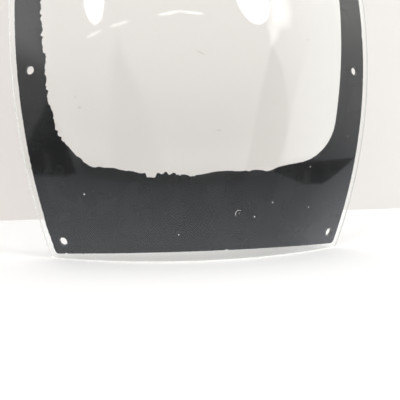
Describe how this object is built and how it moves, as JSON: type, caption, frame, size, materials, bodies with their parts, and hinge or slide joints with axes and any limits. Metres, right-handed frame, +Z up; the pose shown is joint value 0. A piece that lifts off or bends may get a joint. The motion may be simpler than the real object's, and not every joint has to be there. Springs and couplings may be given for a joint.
{
  "type": "motorcycle windscreen",
  "caption": "Clear double-curved motorcycle windscreen with a worn black painted border along its foot and sides and four screw holes.",
  "frame": {"origin": "under the middle of the bounding box, on the level of the lower edge", "axes": "+Z up from the lower edge to the top of the arch, the bulging front faces -Y, +X to the right seen from the front"},
  "size_m": [0.3592, 0.1364, 0.4026],
  "materials": {
    "clear_plastic": "polished",
    "black_paint": "gloss"
  },
  "bodies": {
    "root": {"screen": "clear_plastic", "black_border": "black_paint"}
  },
  "joints": []
}
